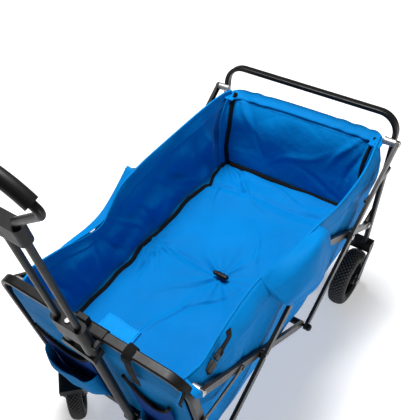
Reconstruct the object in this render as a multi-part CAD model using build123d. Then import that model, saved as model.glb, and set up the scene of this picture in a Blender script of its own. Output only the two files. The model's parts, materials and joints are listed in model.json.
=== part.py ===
from build123d import *
import os
from math import asin, atan2, cos, degrees, hypot, sin

# Folding beach cart. Millimetres. +X is the way the cart is pulled, +Y its left side, +Z up.
# Everything is laid out from a point on the ground midway between the front and rear hoops, on the centre
# plane; save() then moves it back so that the origin is under the middle of the overall length.
OVERALL_MIDDLE_X = 53.0

# ---- hoop frames: one bent flat-oval tube at each end, leaning outwards ----
HALF_TRACK = 244.0
FOOT_X, FOOT_Z = 388.0, 190.0
RAIL_X, RAIL_Z = 447.0, 578.0
TUBE_WIDE, TUBE_THIN, TUBE_WALL, TUBE_EDGE = 22.0, 12.0, 1.5, 4.0
HOOP_BEND = 50.0
LEAN = atan2(RAIL_X - FOOT_X, RAIL_Z - FOOT_Z)
POST_LENGTH = hypot(RAIL_X - FOOT_X, RAIL_Z - FOOT_Z)
BEAM_WIDE, BEAM_TALL, BEAM_WALL, BEAM_HALF = 30.0, 25.0, 2.0, 262.0
BEAM_BOTTOM = FOOT_Z - BEAM_TALL

# ---- side linkage: a pair of crossed arms on each half of each side ----
TOP_Z, LOW_Z = 518.0, 245.0             # upper and lower middle pivots
CROSS_X = 205.0                         # where the arms of one half cross
CROSS_Z = (TOP_Z + LOW_Z) / 2
EAR_X = 360.0                           # pivot of the lower arm end on its hoop
ARM_SLOPE = (TOP_Z - CROSS_Z) / CROSS_X
EAR_Z = TOP_Z - EAR_X * ARM_SLOPE
HEAD_X = 416.0                          # upper arm end, which rests on the post
HEAD_Z = LOW_Z + HEAD_X * ARM_SLOPE
ARM_TALL, ARM_WALL = 18.0, 2.0
INNER_ARM = (243.5, 251.5)              # where the inner arms stand, as distances from the centre plane
OUTER_ARM = (256.5, 264.5)
PIN_R, PIN_HOLE_R, BORE_PLAY = 4.0, 4.08, 0.02
HEAD_R, HEAD_TALL = 7.0, 3.0
FOOT_HEAD_R, FOOT_HEAD_TALL = 9.0, 10.0   # moulded caps on the lower middle pivots
CROSS_TUBE_R, CROSS_TUBE_BORE = 9.0, 7.5
POST_OUTSIDE = HALF_TRACK + TUBE_THIN / 2
POST_INSIDE = HALF_TRACK - TUBE_THIN / 2
EAR_THICK, EAR_ROOT = 4.0, 3.0          # ear plate, and how far it is let into the post
EAR_OUTSIDE = INNER_ARM[0] - 2.0
REST_SLEEVE_R = 9.5

# ---- struts between the posts and the arms ----
STRUT_ON_ARM = 158.0                    # distance from the arm's upper end
STRUT_POST_Z = 432.0
STRUT_WIDE, STRUT_THICK, STRUT_PIN_R = 12.0, 3.0, 3.0
FRONT_STRUT_Y = INNER_ARM[1] + 1.0
REAR_STRUT_Y = OUTER_ARM[0] - STRUT_THICK - 1.0

# ---- wheels ----
REAR_R, REAR_WIDE = 86.0, 46.0
REAR_AXLE_X, REAR_Y = -326.0, 233.0
FRONT_R, FRONT_WIDE = 76.0, 42.0
CASTER_X, CASTER_Y, CASTER_TRAIL = FOOT_X, 205.0, 26.0
CASTER_TURN = 45.0                      # the casters stand turned to the left at rest
AXLE_R, HUB_BORE_R = 5.0, 5.08
TYRE_SEAT = 0.66                        # rim seat, as a share of the wheel's radius
PLATE = 4.0
LEG_GAP = 5.0
FORK_HALF = FRONT_WIDE / 2 + LEG_GAP
CROWN_LOW, CROWN_HIGH = 155.0, 160.0
CROWN_AHEAD, CROWN_BEHIND, CROWN_LIP = 48.0, 24.0, 14.0
KING_R = 6.0

# ---- handle, in a plane parallel to the front hoop ----
HANDLE_FORWARD = 28.0
HANDLE_Y = 4.0
ROD_SPREAD = 25.0
ROD_R, ROD_BORE_R = 7.0, 7.1
STEM_R = 11.0
STEM_Y = HANDLE_Y + ROD_SPREAD
HINGE_DOWN = 400.0
HEAD_LOW, HEAD_HIGH = 13.0, 65.0        # slider head, as distances up the handle from the rail
HEAD_DEEP = 26.0
YOKE_LOW, YOKE_HIGH, YOKE_SLANT = -50.0, -26.0, 10.0
YOKE_WING, YOKE_DEEP = 16.0, 30.0
STEM_SLEEVE_LOW, ROD_SLEEVE_LOW = -63.0, -46.0
STEM_SLEEVE_R, ROD_SLEEVE_R = 13.0, 12.0
ROD_LOW, ROD_TOP = -56.0, 358.0
TOP_YOKE_HALF = 20.0
ROD_SEAT, LOOP_SEAT = 0.0, 5.0          # ends of the rods and of the loop, from the top yoke's middle
LOOP_LOW = 386.0                        # where the loop's tube turns outwards
LOOP_HALF, LOOP_END, LOOP_TOP = 100.0, 470.0, 510.0   # half width, ends and top of the grip's arch
LOOP_CURL, LOOP_BEND = 20.0, 11.0       # how far the tube runs past the grip, and its bends
GRIP_R = 12.5
BUTTON_R, BUTTON_PROUD = 5.0, 3.5
CLIP_LOW_Y, CLIP_HIGH_Y = -12.0, 52.0   # rail clip behind the handle, along the rail
CLIP_WALL, CLIP_TAB = 3.0, 22.0

# ---- fabric tub: simple closed solids where the cloth hangs ----
CLOTH = 3.0
FLOOR_Z = 293.0
FLOOR_FRONT, FLOOR_REAR, FLOOR_HALF = 394.0, -372.0, 214.0
GRIP_X, GRIP_Y = 16.0, 24.0
RIM_HALF = 222.0
RIM_FRONT_Z, RIM_MID_Z, RIM_REAR_Z = 552.0, 516.0, 512.0
WEBBING = 24.0
STRAP_Y, STRAP_TAIL = 99.0, 100.0       # webbing loop on the front rail and the length of its tail
POCKET_DEEP = 10.0

os.makedirs("parts", exist_ok=True)
made = []


def save(name, *solids):
    """Write one named piece; several solids make a group of separate, identical or paired pieces."""
    flat = [s.moved(Pos(-OVERALL_MIDDLE_X, 0, 0)) for shape in solids for s in shape.solids()]
    export_step(flat[0] if len(flat) == 1 else Compound(children=flat), f"parts/{name}.step")
    made.append(name)


def left_and_right(shape):
    """A piece on the cart's left and its mirror image on the right."""
    return [shape, mirror(shape, about=Plane.XZ)]


def to_rear(shape):
    """The mirror image of a front piece at the rear."""
    return mirror(shape, about=Plane.YZ)


def hoop_plane():
    """Front hoop's plane: local X across the cart, local Y up the posts, local Z forwards."""
    return Plane(origin=(FOOT_X, 0, FOOT_Z), x_dir=(0, 1, 0), z_dir=(cos(LEAN), 0, -sin(LEAN)))


def handle_plane():
    """Handle's plane, level with the front rail at local Y = 0."""
    ahead = Vector(cos(LEAN), 0, -sin(LEAN)) * HANDLE_FORWARD
    return Plane(
        origin=Vector(RAIL_X, HANDLE_Y, RAIL_Z) + ahead,
        x_dir=(0, 1, 0),
        z_dir=(cos(LEAN), 0, -sin(LEAN)),
    )


def post_x(z):
    """Middle of the front post at a height."""
    return FOOT_X + (z - FOOT_Z) * (RAIL_X - FOOT_X) / (RAIL_Z - FOOT_Z)


def across(x, y0, y1, z, r, bore=0.0):
    """Round bar or tube lying across the cart, between two distances from the centre plane."""
    at = Plane(origin=(x, y0, z), x_dir=(1, 0, 0), z_dir=(0, 1, 0))
    ring = Circle(r) - Circle(bore) if bore else Circle(r)
    return extrude(at * ring, amount=y1 - y0)


def domed_head(x, y, z, r, tall, side):
    """Rivet or bolt head on a face at distance y, rising outwards (side = 1) or inwards (-1)."""
    at = Plane(origin=(x, y, z), x_dir=(1, 0, 0), z_dir=(0, side, 0))
    disc = extrude(at * Circle(r), amount=tall)
    return fillet(disc.edges().filter_by(GeomType.CIRCLE).sort_by(Axis.Y)[-1 if side > 0 else 0], tall * 0.7)


def rivet(x, z, y0, y1, shank=PIN_R, head=HEAD_R, tall=HEAD_TALL):
    """Rivet across a joint: a shank from y0 to y1 with a domed head at each end."""
    shaft = across(x, y0, y1, z, shank)
    return shaft + domed_head(x, y1, z, head, tall, 1) + domed_head(x, y0, z, head, tall, -1)


# ---------------------------------------------------------------- hoops and beams
def hoop():
    """Front hoop: a hollow flat-oval tube bent into an upside-down U, its feet cut level."""
    plane = hoop_plane()
    over = 12.0
    outline = FilletPolyline(
        (-HALF_TRACK, -over),
        (-HALF_TRACK, POST_LENGTH),
        (HALF_TRACK, POST_LENGTH),
        (HALF_TRACK, -over),
        radius=HOOP_BEND,
    )
    path = plane * outline
    start = Plane(origin=path @ 0, x_dir=plane.z_dir, z_dir=path % 0)
    inner = RectangleRounded(
        TUBE_WIDE - 2 * TUBE_WALL, TUBE_THIN - 2 * TUBE_WALL, TUBE_EDGE - TUBE_WALL
    )
    tube = sweep(start * (RectangleRounded(TUBE_WIDE, TUBE_THIN, TUBE_EDGE) - inner), path=path)
    return split(tube, bisect_by=Plane.XY.offset(FOOT_Z), keep=Keep.TOP)


def beam():
    """Square cross tube under the feet of the front hoop."""
    at = Plane(origin=(FOOT_X, -BEAM_HALF, BEAM_BOTTOM + BEAM_TALL / 2), x_dir=(1, 0, 0), z_dir=(0, 1, 0))
    outer = RectangleRounded(BEAM_WIDE, BEAM_TALL, 3)
    inner = RectangleRounded(BEAM_WIDE - 2 * BEAM_WALL, BEAM_TALL - 2 * BEAM_WALL, 1.5)
    return extrude(at * (outer - inner), amount=2 * BEAM_HALF)


def beam_caps():
    """Plastic plugs in the two open ends of a cross tube."""
    at = Plane(origin=(FOOT_X, BEAM_HALF, BEAM_BOTTOM + BEAM_TALL / 2), x_dir=(1, 0, 0), z_dir=(0, 1, 0))
    plug = RectangleRounded(BEAM_WIDE - 2 * BEAM_WALL - 0.2, BEAM_TALL - 2 * BEAM_WALL - 0.2, 1.4)
    cap = extrude(at * RectangleRounded(BEAM_WIDE, BEAM_TALL, 3), amount=3)
    return left_and_right(cap + extrude(at * plug, amount=-12))


def ear():
    """Flat ear welded to the inboard face of a front post, carrying the lower arm pivot."""
    half = TUBE_WIDE / 2 / cos(LEAN) - EAR_ROOT
    high, low = EAR_Z + 24, EAR_Z - 22
    root = [(post_x(low) - half, low), (post_x(high) - half, high)]
    at = Plane(origin=(0, EAR_OUTSIDE, 0), x_dir=(1, 0, 0), z_dir=(0, -1, 0))
    rim = make_hull([Line(*root), Pos(EAR_X, EAR_Z) * CenterArc((0, 0), 13, 0, 360)])
    hole = Pos(EAR_X, EAR_Z) * Circle(PIN_R + BORE_PLAY)
    return extrude(at * (rim - hole), amount=EAR_THICK)


# ---------------------------------------------------------------- arms
def arm(x0, z0, x1, z1, span, holes, width=ARM_TALL):
    """Pressed arm between two ends: a channel open towards the cart, solid around its pivot holes."""
    near, far = span
    length = hypot(x1 - x0, z1 - z0)
    tilt = degrees(atan2(z1 - z0, x1 - x0))
    at = Plane(origin=(0, far, 0), x_dir=(1, 0, 0), z_dir=(0, -1, 0))
    place = Pos((x0 + x1) / 2, (z0 + z1) / 2) * Rot(0, 0, tilt)
    body = extrude(at * (place * SlotCenterToCenter(length, width)), amount=far - near)
    trough = at * (place * Rectangle(length - width, width - 2 * ARM_WALL))
    body -= extrude(trough.moved(Location((0, -ARM_WALL, 0))), amount=far - near)
    for x, z, r in holes:
        body += across(x, near, far, z, width / 2 - ARM_WALL / 2)
    for x, z, r in holes:
        body -= across(x, near - 1, far + 1, z, r)
    return body


def pivot_spacer(x, arm_face):
    """Tube between an ear and the arm that turns on it."""
    return across(x, EAR_OUTSIDE, arm_face - 0.3, EAR_Z, 8, PIN_R + BORE_PLAY)


def inner_front_arm():
    """From the front post's head pin down to the lower middle pivot."""
    holes = [
        (HEAD_X, HEAD_Z, PIN_R + BORE_PLAY),
        (CROSS_X, CROSS_Z, PIN_HOLE_R),
        (0, LOW_Z, PIN_R + BORE_PLAY),
    ]
    return arm(0, LOW_Z, HEAD_X, HEAD_Z, INNER_ARM, holes)


def outer_front_arm():
    """From the front ear up to the upper middle pivot."""
    holes = [(EAR_X, EAR_Z, PIN_HOLE_R), (CROSS_X, CROSS_Z, PIN_R + BORE_PLAY), (0, TOP_Z, PIN_R + BORE_PLAY)]
    return arm(0, TOP_Z, EAR_X, EAR_Z, OUTER_ARM, holes)


def inner_rear_arm():
    """From the rear ear up to the upper middle pivot."""
    holes = [(-EAR_X, EAR_Z, PIN_HOLE_R), (-CROSS_X, CROSS_Z, PIN_R + BORE_PLAY), (0, TOP_Z, PIN_HOLE_R)]
    return arm(0, TOP_Z, -EAR_X, EAR_Z, INNER_ARM, holes)


def outer_rear_arm():
    """From the rear post's head pin down to the lower middle pivot."""
    holes = [
        (-HEAD_X, HEAD_Z, PIN_R + BORE_PLAY),
        (-CROSS_X, CROSS_Z, PIN_HOLE_R),
        (0, LOW_Z, PIN_HOLE_R),
    ]
    return arm(0, LOW_Z, -HEAD_X, HEAD_Z, OUTER_ARM, holes)


def cross_pin(x):
    """Rivet through a crossing of two arms."""
    return rivet(x, CROSS_Z, INNER_ARM[0], OUTER_ARM[1])


def cross_spacer(x):
    """Washer between two crossed arms."""
    return across(x, INNER_ARM[1] + 0.3, OUTER_ARM[0] - 0.3, CROSS_Z, 10, PIN_HOLE_R)


def head_pin(x, arm_span):
    """Bright pin through an arm's upper end; its sleeve rests against the inboard face of the post."""
    near, far = arm_span
    start = POST_INSIDE - 8
    pin = across(x, near, far, HEAD_Z, PIN_R)
    sleeve = across(x, start, near - 0.3, HEAD_Z, REST_SLEEVE_R)
    collar = across(x, near - 0.5, near, HEAD_Z, PIN_R)
    cap = domed_head(x, start, HEAD_Z, REST_SLEEVE_R + 1, 6, -1)
    return pin + sleeve + collar + cap + domed_head(x, far, HEAD_Z, HEAD_R, HEAD_TALL, 1)


def strut_points():
    """The strut's pivot on the post and its rivet on the arm, in the side view."""
    along = hypot(1, ARM_SLOPE)
    on_arm = (HEAD_X - STRUT_ON_ARM / along, HEAD_Z - STRUT_ON_ARM * ARM_SLOPE / along)
    return (post_x(STRUT_POST_Z), STRUT_POST_Z), on_arm


def strut(near):
    """Flat link from the post to the arm, with a rivet head at its arm end."""
    (px, pz), (qx, qz) = strut_points()
    at = Plane(origin=(0, near + STRUT_THICK, 0), x_dir=(1, 0, 0), z_dir=(0, -1, 0))
    place = Pos((px + qx) / 2, (pz + qz) / 2) * Rot(0, 0, degrees(atan2(qz - pz, qx - px)))
    link = at * (place * SlotCenterToCenter(hypot(qx - px, qz - pz), STRUT_WIDE))
    body = extrude(link, amount=STRUT_THICK)
    body -= across(px, near - 1, near + STRUT_THICK + 1, pz, STRUT_PIN_R + 0.08)
    return body


def strut_rivet(near, side):
    """Rivet head set in the free end of a strut, on its outer or inner face."""
    _, (qx, qz) = strut_points()
    face = near + STRUT_THICK if side > 0 else near
    return domed_head(qx, face, qz, 5.5, 2.8, side)


def strut_stud(near, headed=True):
    """Stud from the post through the strut, with an outer head where there is room for one."""
    (px, pz), _ = strut_points()
    top = near + STRUT_THICK + 0.3
    stud = across(px, POST_OUTSIDE, top, pz, STRUT_PIN_R)
    return stud + domed_head(px, top, pz, 6, 2.8, 1) if headed else stud


def strut_spacer(near):
    """Black spacer between the post and the strut."""
    (px, pz), _ = strut_points()
    return across(px, POST_OUTSIDE, near - 0.3, pz, 7, STRUT_PIN_R + BORE_PLAY)


# ---------------------------------------------------------------- wheels
def tyre_section(radius, width):
    """Half section of a tyre: rounded shoulders outside, a seat for the rim inside."""
    seat = radius * TYRE_SEAT
    tread = RectangleRounded(width, radius - seat, 9)
    return Pos(seat + (radius - seat) / 2, 0) * Rot(0, 0, 90) * tread


def tyre(x, y, z, radius, width, turn=0.0):
    """Solid tyre with rounded shoulders."""
    ring = revolve(Plane.XY * tyre_section(radius, width), axis=Axis.Y)
    return Pos(x, y, z) * Rot(0, 0, turn) * ring


def rim(x, y, z, radius, width, turn=0.0):
    """Moulded rim: an outer ring, a dished web with windows, and a hub with a bore."""
    seat = radius * TYRE_SEAT - 0.1
    half = width / 2
    ring = across(0, -half + 5, half - 5, 0, seat, seat - 6)
    web = across(0, -4, 5, 0, seat - 5, 14)
    hub = across(0, -half - 0.5, half + 0.5, 0, 16, HUB_BORE_R)
    body = ring + web + hub
    windows = 6
    for i in range(windows):
        turn_to = Rot(0, 360 / windows * i, 0)
        slot = extrude(
            Plane.XZ * (Pos((seat + 10) / 2 + 1, 0) * RectangleRounded(seat - 28, 16, 7)), amount=30, both=True
        )
        body -= turn_to * slot
    return Pos(x, y, z) * Rot(0, 0, turn) * body


def leg(top, axle, span, side_y, width_at_axle=13.0):
    """Flat leg from a top edge (two X values at one height) down to the axle."""
    (x0, x1, z), (ax, az) = top, axle
    at = Plane(origin=(0, side_y + span, 0), x_dir=(1, 0, 0), z_dir=(0, -1, 0))
    rim_line = make_hull([Line((x0, z), (x1, z)), Pos(ax, az) * CenterArc((0, 0), width_at_axle, 0, 360)])
    return extrude(at * (rim_line - Pos(ax, az) * Circle(AXLE_R + BORE_PLAY)), amount=span)


def rear_bracket():
    """Inverted U of flat steel under the rear cross tube, holding the left rear wheel's axle."""
    half = REAR_WIDE / 2 + LEG_GAP
    inner, outer = REAR_Y - half - PLATE, REAR_Y + half
    x0, x1 = -FOOT_X - BEAM_WIDE / 2, -FOOT_X + BEAM_WIDE / 2
    top = (x0, x1, BEAM_BOTTOM)
    legs = [leg(top, (REAR_AXLE_X, REAR_R), PLATE, y) for y in (inner, outer)]
    plate = Pos((x0 + x1) / 2, REAR_Y, BEAM_BOTTOM - 1.5) * Box(BEAM_WIDE, 2 * half + 2, 3)
    return legs[0] + legs[1] + plate


def rear_axle():
    """Bolt through the left rear wheel, with a head outside and a nut inside."""
    half = REAR_WIDE / 2 + LEG_GAP + PLATE
    low, high = REAR_Y - half, REAR_Y + half
    bolt = across(REAR_AXLE_X, low - 8, high, REAR_R, AXLE_R)
    bolt += domed_head(REAR_AXLE_X, high, REAR_R, 9.5, 5, 1)
    nut_at = Plane(origin=(REAR_AXLE_X, low - 7, REAR_R), x_dir=(1, 0, 0), z_dir=(0, 1, 0))
    return bolt + extrude(nut_at * RegularPolygon(9, 6), amount=7)


def caster_frame(side):
    """Location of a caster at rest: on its swivel axis at ground level, turned to the left."""
    return Pos(CASTER_X, side * CASTER_Y, 0) * Rot(0, 0, CASTER_TURN)


def caster_cup(side):
    """Bearing cup welded under the front cross tube."""
    cup = Pos(0, 0, (CROWN_HIGH + BEAM_BOTTOM) / 2 + 0.15)
    ring = cup * (Cylinder(17, BEAM_BOTTOM - CROWN_HIGH - 0.3) - Cylinder(KING_R + 0.1, 20))
    return caster_frame(side) * ring


def caster_fork():
    """Fork with a crown plate, a folded front lip and two tapering legs, before it is placed."""
    front, back = CASTER_TRAIL + CROWN_AHEAD, -CROWN_BEHIND
    crown = Pos((front + back) / 2, 0, (CROWN_LOW + CROWN_HIGH) / 2) * Box(
        front - back, 2 * (FORK_HALF + PLATE), CROWN_HIGH - CROWN_LOW
    )
    lip = Pos(front - 1.5, 0, CROWN_LOW - CROWN_LIP / 2) * Box(3, 2 * (FORK_HALF + PLATE), CROWN_LIP)
    body = crown + lip
    for y in (-FORK_HALF - PLATE, FORK_HALF):
        body += leg((back, front, CROWN_LOW), (CASTER_TRAIL, FRONT_R), PLATE, y, 14.0)
    king = Pos(0, 0, (CROWN_HIGH + BEAM_BOTTOM) / 2 - 0.2) * Cylinder(KING_R, BEAM_BOTTOM - CROWN_HIGH - 0.4)
    return body + king


def caster_axle():
    """Bolt through a front wheel, before it is placed."""
    half = FORK_HALF + PLATE
    bolt = across(CASTER_TRAIL, -half - 7, half, FRONT_R, AXLE_R)
    bolt += domed_head(CASTER_TRAIL, half, FRONT_R, 8.5, 4.5, 1)
    nut_at = Plane(origin=(CASTER_TRAIL, -half - 6, FRONT_R), x_dir=(1, 0, 0), z_dir=(0, 1, 0))
    return bolt + extrude(nut_at * RegularPolygon(8.5, 6), amount=6)


# ---------------------------------------------------------------- handle
def bar_along(x, y0, y1, r, bore=0.0):
    """Round bar or tube along the handle, in the handle's plane."""
    plane = handle_plane()
    start = Plane(origin=plane.from_local_coords((x, y0, 0)), x_dir=plane.x_dir, z_dir=plane.y_dir)
    ring = Circle(r) - Circle(bore) if bore else Circle(r)
    return extrude(start * ring, amount=y1 - y0)


def block_along(x, y0, y1, wide, deep, corner=6.0):
    """Rounded block along the handle, in the handle's plane."""
    plane = handle_plane()
    start = Plane(origin=plane.from_local_coords((x, y0, 0)), x_dir=plane.x_dir, z_dir=plane.y_dir)
    return extrude(start * RectangleRounded(wide, deep, corner), amount=y1 - y0)


def hinge_point():
    """Handle hinge axis, in front of the front cross tube."""
    return handle_plane().from_local_coords((ROD_SPREAD, -HINGE_DOWN, 0))


def handle_stem():
    """Lower tube with its hinge knuckle."""
    at = hinge_point()
    knuckle = across(at.X, STEM_Y - 12, STEM_Y + 12, at.Z, 10)
    body = bar_along(ROD_SPREAD, -HINGE_DOWN + 6, HEAD_LOW, STEM_R) + knuckle
    body -= bar_along(ROD_SPREAD, -HINGE_DOWN + 24, HEAD_LOW + 1, ROD_BORE_R)
    return body - across(at.X, STEM_Y - 13, STEM_Y + 13, at.Z, AXLE_R + 0.08)


def handle_bracket():
    """Two ears in front of the cross tube, either side of the handle's knuckle."""
    at = hinge_point()
    face = FOOT_X + BEAM_WIDE / 2
    body = None
    for y in (STEM_Y - 17, STEM_Y + 13):
        side = Plane(origin=(0, y + PLATE, 0), x_dir=(1, 0, 0), z_dir=(0, -1, 0))
        root = Line((face, FOOT_Z - 3), (face, BEAM_BOTTOM + 2))
        rim_line = make_hull([root, Pos(at.X, at.Z) * CenterArc((0, 0), 9, 0, 360)])
        plate = extrude(side * (rim_line - Pos(at.X, at.Z) * Circle(AXLE_R + BORE_PLAY)), amount=PLATE)
        body = plate if body is None else body + plate
    return body


def handle_yoke():
    """Slanted block that ties the left sleeve to the lower tube."""
    plane = handle_plane()
    wing = ROD_SPREAD + YOKE_WING
    corners = [
        (wing, YOKE_LOW - YOKE_SLANT),
        (-wing, YOKE_LOW + YOKE_SLANT),
        (-wing, YOKE_HIGH + YOKE_SLANT),
        (wing, YOKE_HIGH - YOKE_SLANT),
    ]
    face = make_face(Polyline(*corners, close=True))
    back = Plane(
        origin=plane.from_local_coords((0, 0, -YOKE_DEEP / 2)),
        x_dir=plane.x_dir,
        z_dir=plane.z_dir,
    )
    body = extrude(back * face, amount=YOKE_DEEP)
    body = fillet(body.edges().filter_by(Axis(plane.origin, plane.z_dir)), 9)
    body -= bar_along(ROD_SPREAD, YOKE_LOW - 40, YOKE_HIGH + 40, STEM_SLEEVE_R + BORE_PLAY)
    return body - bar_along(-ROD_SPREAD, YOKE_LOW - 40, YOKE_HIGH + 40, ROD_SLEEVE_R + BORE_PLAY)


def handle_head():
    """Two-hole slider head with a pocket for the lock button."""
    body = block_along(0, HEAD_LOW, HEAD_HIGH, 2 * ROD_SPREAD + 32, HEAD_DEEP, HEAD_DEEP / 2 - 0.5)
    for x in (-ROD_SPREAD, ROD_SPREAD):
        body -= bar_along(x, HEAD_LOW - 1, HEAD_HIGH + 1, ROD_BORE_R)
    return body - bar_along(0, HEAD_HIGH - 12, HEAD_HIGH + 1, BUTTON_R + 0.1)


def lock_button():
    """Push button standing out of the head, between the rods."""
    return bar_along(0, HEAD_HIGH - 8, HEAD_HIGH + BUTTON_PROUD, BUTTON_R)


def top_yoke():
    """Block that joins the tops of the rods and the ends of the hand loop."""
    low, high = ROD_TOP - TOP_YOKE_HALF, ROD_TOP + TOP_YOKE_HALF
    body = block_along(0, low, high, 2 * ROD_SPREAD + 24, HEAD_DEEP, 11)
    for x in (-ROD_SPREAD, ROD_SPREAD):
        body -= bar_along(x, low - 1, ROD_TOP + ROD_SEAT + BORE_PLAY, ROD_R + BORE_PLAY)
        body -= bar_along(x, ROD_TOP + LOOP_SEAT - BORE_PLAY, high + 1, ROD_R + BORE_PLAY)
    return body


def loop_tube():
    """Bent tube: up out of the yoke, out to both sides, then over as the hand grip."""
    rise = LOOP_TOP - LOOP_END
    arch_r = (LOOP_HALF**2 + rise**2) / (2 * rise)
    droop = asin(LOOP_HALF / arch_r)
    end = (LOOP_HALF, LOOP_END)
    curl = (LOOP_HALF + LOOP_CURL * cos(droop), LOOP_END - LOOP_CURL * sin(droop))
    foot = (ROD_SPREAD, ROD_TOP + LOOP_SEAT)
    right = FilletPolyline(foot, (ROD_SPREAD, LOOP_LOW), curl, end, radius=LOOP_BEND)
    arch = ThreePointArc(end, (0, LOOP_TOP), (-LOOP_HALF, LOOP_END))
    left = mirror(right, about=Plane.YZ)
    path = handle_plane() * Wire(right.edges() + arch.edges() + left.edges())
    return path, handle_plane() * arch


def swept_tube(path, r, bore):
    """Round tube along a path."""
    start = Plane(origin=path @ 0, z_dir=path % 0)
    return sweep(start * (Circle(r) - Circle(bore)), path=path, transition=Transition.ROUND)


def handle_clip():
    """Moulded saddle on the front rail behind the handle, with an upright tab and a prong beside the rod."""
    plane = Plane(origin=(RAIL_X, CLIP_LOW_Y, RAIL_Z), x_dir=(cos(LEAN), 0, -sin(LEAN)), z_dir=(0, 1, 0))
    outer_wide, outer_tall = TUBE_WIDE + 2 * CLIP_WALL, TUBE_THIN + 2 * CLIP_WALL
    saddle = RectangleRounded(outer_wide, outer_tall, TUBE_EDGE + CLIP_WALL)
    hollow = RectangleRounded(TUBE_WIDE + 0.1, TUBE_THIN + 0.1, TUBE_EDGE)
    long = CLIP_HIGH_Y - CLIP_LOW_Y
    body = extrude(plane * (saddle - hollow), amount=long)
    tab = Pos(-4, -outer_tall / 2 - CLIP_TAB / 2 + 1) * RectangleRounded(14, CLIP_TAB, 3)
    body += extrude(plane * tab, amount=24)
    prong = Pos(outer_wide / 2 + 8, 0) * RectangleRounded(20, 12, 3)
    tip = plane.offset(long - 8)
    return body + extrude(tip * prong, amount=8)


# ---------------------------------------------------------------- fabric
def floor_sheet():
    """Fabric floor over its stiffeners."""
    long = FLOOR_FRONT - FLOOR_REAR
    return Pos((FLOOR_FRONT + FLOOR_REAR) / 2, 0, FLOOR_Z - CLOTH / 2) * Box(long, 2 * FLOOR_HALF, CLOTH)


def side_sheet():
    """Left wall, leaning out from the floor's edge to the rim."""
    rise = RIM_MID_Z - FLOOR_Z
    slant = atan2(RIM_HALF - FLOOR_HALF, rise)
    base = Plane(origin=(0, FLOOR_HALF + 1, FLOOR_Z), x_dir=(1, 0, 0), z_dir=(0, -cos(slant), sin(slant)))
    outline = Polyline(
        (FLOOR_REAR, 0),
        (FLOOR_FRONT - 2, 0),
        (398, RIM_FRONT_Z - FLOOR_Z - 70),
        (392, RIM_FRONT_Z - FLOOR_Z),
        (0, rise),
        (-398, RIM_REAR_Z - FLOOR_Z),
        close=True,
    )
    return extrude(base * make_face(outline), amount=-CLOTH)


def front_sheet():
    """Front wall, hung from the front rail down to the cross tube, between the posts."""
    plane = hoop_plane()
    at = Plane(origin=plane.from_local_coords((0, 0, -CLOTH / 2)), x_dir=plane.x_dir, z_dir=plane.z_dir)
    low, high, half, corner = 6.0, POST_LENGTH - TUBE_THIN / 2 - 9, FLOOR_HALF + 2, HOOP_BEND - 6
    outline = Polyline(
        (-half, low),
        (half, low),
        (half, high - corner),
        (half - corner, high),
        (corner - half, high),
        (-half, high - corner),
        close=True,
    )
    return extrude(at * make_face(outline), amount=CLOTH)


def rear_sheet():
    """Rear wall, from the floor's rear edge up to the rear rim."""
    low = (FLOOR_REAR - 4, FLOOR_Z - CLOTH)
    high = (-RAIL_X + 17, RIM_REAR_Z)
    at = Plane(origin=(0, FLOOR_HALF, 0), x_dir=(1, 0, 0), z_dir=(0, -1, 0))
    outline = Polyline(low, high, (high[0] - CLOTH, high[1]), (low[0] - CLOTH, low[1]), close=True)
    return extrude(at * make_face(outline), amount=2 * FLOOR_HALF)


def pocket(middle, wide, low, high):
    """Pocket on the outside of the front wall."""
    plane = hoop_plane()
    start = plane.from_local_coords((middle, (low + high) / 2, CLOTH / 2 + 0.2))
    at = Plane(origin=start, x_dir=plane.x_dir, z_dir=plane.z_dir)
    return extrude(at * RectangleRounded(wide, high - low, 14), amount=POCKET_DEEP)


def rail_strap():
    """Webbing loop around the front rail with its tail hanging in front."""
    plane = Plane(origin=(RAIL_X, STRAP_Y, RAIL_Z), x_dir=(cos(LEAN), 0, -sin(LEAN)), z_dir=(0, 1, 0))
    thick, slack = 2.0, 1.0
    outer = RectangleRounded(TUBE_WIDE + 2 * thick + slack, TUBE_THIN + 2 * thick + slack, TUBE_EDGE + thick)
    inner = RectangleRounded(TUBE_WIDE + slack, TUBE_THIN + slack, TUBE_EDGE)
    tail = Pos(TUBE_WIDE / 2 + slack / 2 + thick / 2, STRAP_TAIL / 2) * Rectangle(thick, STRAP_TAIL)
    return extrude(plane * (outer - inner + tail), amount=WEBBING)


def floor_grip():
    """Moulded pull grip on the floor's centre crease."""
    long, wide, tall = 44.0, 18.0, 11.0
    ball = extrude(Plane(origin=(GRIP_X, GRIP_Y, FLOOR_Z)) * SlotOverall(long, wide), amount=tall)
    return fillet(ball.edges().group_by(Axis.Z)[-1], tall / 2 - 0.5)


def floor_flap():
    """Sewn patch on the floor behind the front rail."""
    long, wide, thick = 46.0, 104.0, 2.0
    return Pos(FLOOR_FRONT - 108, -92, FLOOR_Z + thick / 2) * Box(long, wide, thick)


def corner_buckle():
    """Side-release buckle on the strap at the left front corner of the rim."""
    long, thick, tall = 42.0, 8.0, 20.0
    windows = [Pos(-13, 0, 0) * Box(6, thick + 1, 13), Pos(13, 0, 0) * Box(4, thick + 1, 13)]
    body = Box(long, thick, tall) - windows[0] - windows[1]
    return Pos(HEAD_X - 64, POST_INSIDE - 2, HEAD_Z + 18) * Rot(0, 24, 0) * body


# ---------------------------------------------------------------- write every piece
welded_hoop = hoop() + left_and_right(ear())
save("front_hoop", welded_hoop)
save("rear_hoop", to_rear(welded_hoop))
save("front_beam", beam() + [caster_cup(1), caster_cup(-1)])
save("rear_beam", to_rear(beam()) + left_and_right(rear_bracket()))
save("front_beam_caps", *beam_caps())
save("rear_beam_caps", *[to_rear(c) for c in beam_caps()])

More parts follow.
